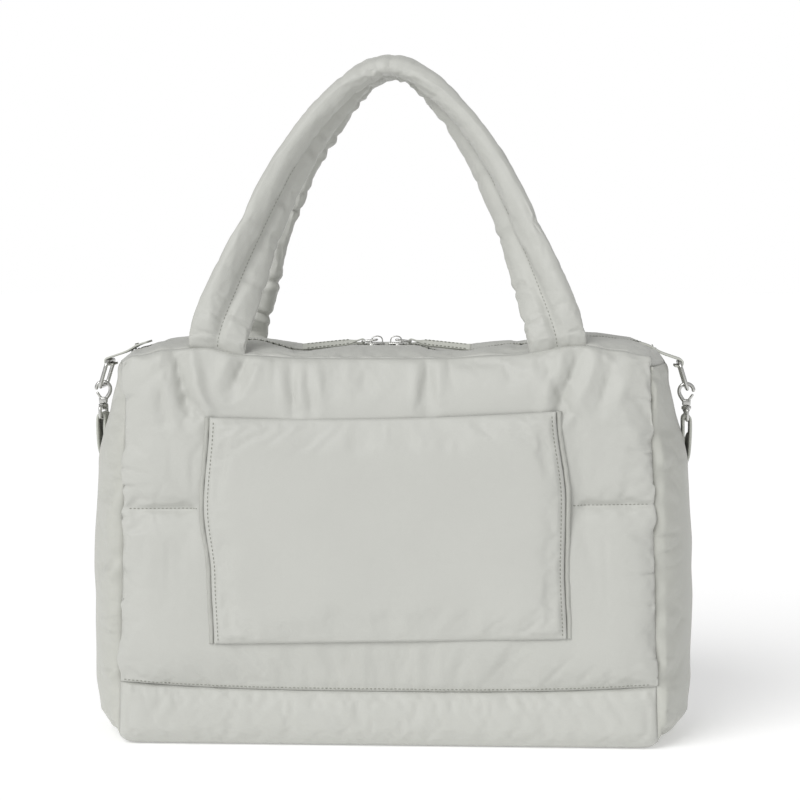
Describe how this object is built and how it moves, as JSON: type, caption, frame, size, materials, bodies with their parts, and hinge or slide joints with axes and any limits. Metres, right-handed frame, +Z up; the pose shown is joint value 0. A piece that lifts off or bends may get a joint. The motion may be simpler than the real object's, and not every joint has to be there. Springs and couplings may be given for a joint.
{
  "type": "puffer tote bag",
  "caption": "Padded nylon tote bag with a zipped top, a front slip pocket, twin padded handles held upright and a detachable webbing shoulder strap",
  "frame": {"origin": "middle of the bounding box, on the surface the base stands on", "axes": "+X to the bag's right as seen from the front, +Y to the back, +Z up; the front pocket faces -Y"},
  "size_m": [0.4724, 0.1914, 0.5262],
  "materials": {
    "nylon": "soft matt nylon, faint sheen",
    "nylon_side": "soft matt nylon, faint sheen",
    "binding": "ribbed tape",
    "zipper_tape": "woven tape",
    "webbing": "ribbed webbing",
    "metal": "polished silver metal"
  },
  "bodies": {
    "bag": {"front_panel": "nylon", "back_panel": "nylon", "base_band": "nylon", "top_strip_front": "nylon", "top_strip_back": "nylon", "pocket_panel": "nylon", "handle_front": "nylon", "handle_back": "nylon", "gusset_left": "nylon_side", "gusset_right": "nylon_side", "pocket_piping_left": "binding", "pocket_piping_right": "binding", "pocket_hem": "binding", "zipper_tape_front": "zipper_tape", "zipper_tape_back": "zipper_tape", "zipper_coil_left": "zipper_tape", "zipper_coil_right": "zipper_tape", "tab_left": "webbing", "tab_right": "webbing", "shoulder_strap": "webbing", "slider_left": "metal", "slider_right": "metal", "ring_left": "metal", "ring_right": "metal", "hook_left": "metal", "hook_right": "metal", "swivel_eye_left": "metal", "swivel_eye_right": "metal"},
    "pull_left": {"pull_link_left": "metal", "pull_ribbon_left": "webbing"},
    "pull_right": {"pull_link_right": "metal", "pull_ribbon_right": "webbing"},
    "gate_left": {"hook_gate_left": "metal"},
    "gate_right": {"hook_gate_right": "metal"}
  },
  "joints": [
    {"name": "pull_left_hinge", "type": "hinge", "parent": "bag", "child": "pull_left", "pos_m": [-0.0125, 0.00632, 0.3074], "axis": [0, 1, 0], "range_deg": [0, 95]},
    {"name": "pull_right_hinge", "type": "hinge", "parent": "bag", "child": "pull_right", "pos_m": [0.0025, 0.00632, 0.3074], "axis": [0, -1, 0], "range_deg": [0, 95]},
    {"name": "gate_left_hinge", "type": "hinge", "parent": "bag", "child": "gate_left", "pos_m": [-0.23134, 0.00632, 0.26086], "axis": [0, 1, 0], "range_deg": [0, 28]},
    {"name": "gate_right_hinge", "type": "hinge", "parent": "bag", "child": "gate_right", "pos_m": [0.23134, 0.00632, 0.26086], "axis": [0, -1, 0], "range_deg": [0, 28]}
  ]
}
